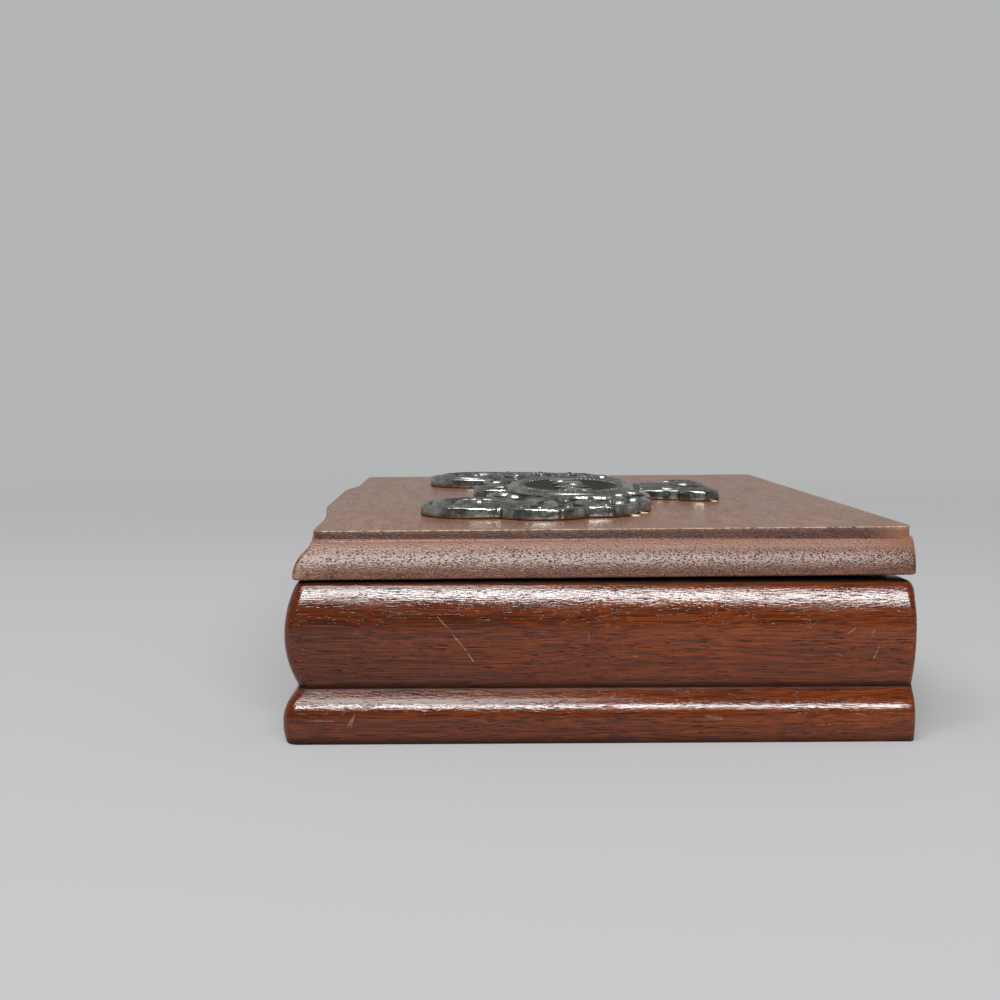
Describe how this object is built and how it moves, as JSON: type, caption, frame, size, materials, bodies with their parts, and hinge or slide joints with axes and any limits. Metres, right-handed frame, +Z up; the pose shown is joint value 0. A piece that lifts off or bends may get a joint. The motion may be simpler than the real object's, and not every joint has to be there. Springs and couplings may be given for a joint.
{
  "type": "playing card box",
  "caption": "Bowed and moulded wooden box for playing cards, with a hinged lid, a finger lip, a divided felt-lined inside and a cast scroll cartouche on the lid.",
  "frame": {"origin": "middle of the whole box's footprint, on the surface that it stands on", "axes": "+X along the length to the right end, -Y towards the opening edge, +Y towards the hinges, +Z up"},
  "size_m": [0.1554, 0.1188, 0.0431],
  "materials": {
    "case_wood": "mahogany under worn gloss lacquer, open pores",
    "lid_wood": "mahogany under satin lacquer, end grain on the short edges",
    "panel_wood": "plain sealed plywood",
    "felt": "green baize",
    "hinge_brass": "aged brass",
    "cast_metal": "dark antiqued white metal, polished on its edges",
    "adhesive": "dried amber glue"
  },
  "bodies": {
    "case": {"front_wall": "case_wood", "left_wall": "case_wood", "right_wall": "case_wood", "back_wall": "case_wood", "base_moulding_front": "case_wood", "base_moulding_left": "case_wood", "base_moulding_right": "case_wood", "base_rail_back": "case_wood", "bottom_panel": "panel_wood", "underside_felt": "felt", "compartment_divider": "case_wood", "floor_felt_left": "felt", "floor_felt_right": "felt", "case_hinge_leaf_left": "hinge_brass", "case_hinge_leaf_right": "hinge_brass", "hinge_pin_left": "hinge_brass", "hinge_pin_right": "hinge_brass", "case_screw_left_1": "hinge_brass", "case_screw_left_2": "hinge_brass", "case_screw_right_1": "hinge_brass", "case_screw_right_2": "hinge_brass"},
    "lid": {"lid_board": "lid_wood", "lid_felt": "felt", "ornament": "cast_metal", "ornament_adhesive": "adhesive", "lid_hinge_leaf_left": "hinge_brass", "lid_hinge_leaf_right": "hinge_brass", "lid_screw_left_1": "hinge_brass", "lid_screw_left_2": "hinge_brass", "lid_screw_right_1": "hinge_brass", "lid_screw_right_2": "hinge_brass"}
  },
  "joints": [
    {"name": "lid_hinge", "type": "hinge", "parent": "case", "child": "lid", "pos_m": [0, 0.05813, 0.03053], "axis": [-1, 0, 0], "range_deg": [0, 100]}
  ]
}
